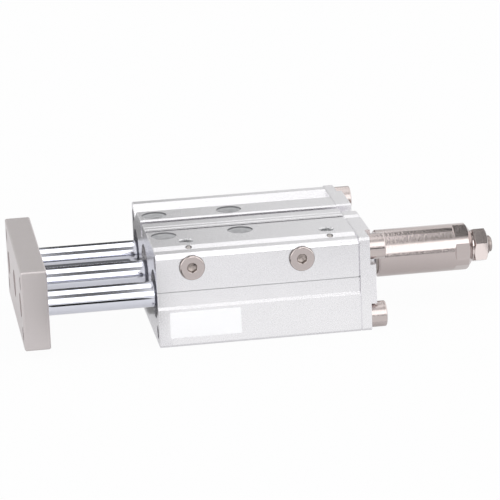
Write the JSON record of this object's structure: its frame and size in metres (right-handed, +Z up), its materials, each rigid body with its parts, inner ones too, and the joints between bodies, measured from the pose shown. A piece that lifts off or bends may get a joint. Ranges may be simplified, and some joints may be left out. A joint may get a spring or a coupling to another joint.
{
  "type": "guided pneumatic cylinder",
  "caption": "Compact pneumatic cylinder with a piston rod and guide rods joined by a front plate, and an adjustable stroke stop on its tail rod.",
  "frame": {"origin": "centre of the four-hole mounting pattern, on the bottom face of the body", "axes": "+X along the rods, from the front plate to the adjusting sleeve; +Z up, out of the top face with the counterbores"},
  "size_m": [0.1529, 0.0642, 0.03],
  "materials": {
    "anodised_aluminium": "satin clear anodised",
    "turned_aluminium": "turned",
    "nickel_plate": "satin nickel plated steel",
    "nickel_steel": "nickel plated, fine grain",
    "chrome_rod": "ground and hard chromed",
    "spring_steel": "hardened",
    "bush_bronze": "sintered bronze",
    "seal_rubber": "matte black",
    "cushion_urethane": "smooth black",
    "wear_plastic": "matte",
    "magnet_black": "plastic bonded magnet",
    "label_film": "white film, blank"
  },
  "bodies": {
    "cylinder": {"cylinder_body": "anodised_aluminium", "rear_plate": "anodised_aluminium", "rear_plate_screws": "nickel_steel", "front_cover": "turned_aluminium", "front_retaining_ring": "spring_steel", "rod_bush": "bush_bronze", "tail_cover": "turned_aluminium", "tail_bush": "bush_bronze", "front_o_ring": "seal_rubber", "tail_o_ring": "seal_rubber", "rod_seal": "seal_rubber", "tail_rod_seal": "seal_rubber", "front_cushion": "cushion_urethane", "rear_cushion": "cushion_urethane", "guide_bushes_near": "bush_bronze", "guide_bushes_far": "bush_bronze", "guide_wiper_near": "seal_rubber", "guide_wiper_far": "seal_rubber", "port_plugs": "nickel_steel", "passage_balls": "spring_steel", "label_plate": "label_film"},
    "rod_assembly": {"front_plate": "nickel_plate", "guide_rod_screws": "nickel_steel", "piston_rod_screw": "nickel_steel", "guide_rod_near": "chrome_rod", "guide_rod_far": "chrome_rod", "piston_rod": "chrome_rod", "piston": "turned_aluminium", "piston_seal": "seal_rubber", "magnet_ring": "magnet_black", "wear_ring": "wear_plastic", "tail_rod": "chrome_rod"},
    "stop_cushion": {"sleeve_bumper": "cushion_urethane"},
    "sleeve": {"adjusting_sleeve": "nickel_steel"},
    "washer": {"lock_washer": "nickel_steel"},
    "nut": {"lock_nut": "nickel_steel"}
  },
  "joints": [
    {"name": "rod_slide", "type": "slide", "parent": "cylinder", "child": "rod_assembly", "axis": [1, 0, 0], "range_m": [0, 0.03]},
    {"name": "sleeve_travel", "type": "slide", "parent": "rod_assembly", "child": "stop_cushion", "axis": [1, 0, 0], "range_m": [-0.0045, 0]},
    {"name": "sleeve_turn", "type": "hinge", "parent": "stop_cushion", "child": "sleeve", "pos_m": [0.0567, 0, 0.015], "axis": [1, 0, 0], "range_deg": [-1620, 0]},
    {"name": "washer_travel", "type": "slide", "parent": "stop_cushion", "child": "washer", "axis": [1, 0, 0], "range_m": [0, 0.001]},
    {"name": "nut_turn", "type": "hinge", "parent": "washer", "child": "nut", "pos_m": [0.0567, 0, 0.015], "axis": [1, 0, 0], "range_deg": [0, 360]}
  ],
  "couplings": [
    {"joint": "sleeve_turn", "follows": "sleeve_travel", "rad_per_m": 6283.2},
    {"joint": "nut_turn", "follows": "washer_travel", "rad_per_m": 6283.2}
  ]
}
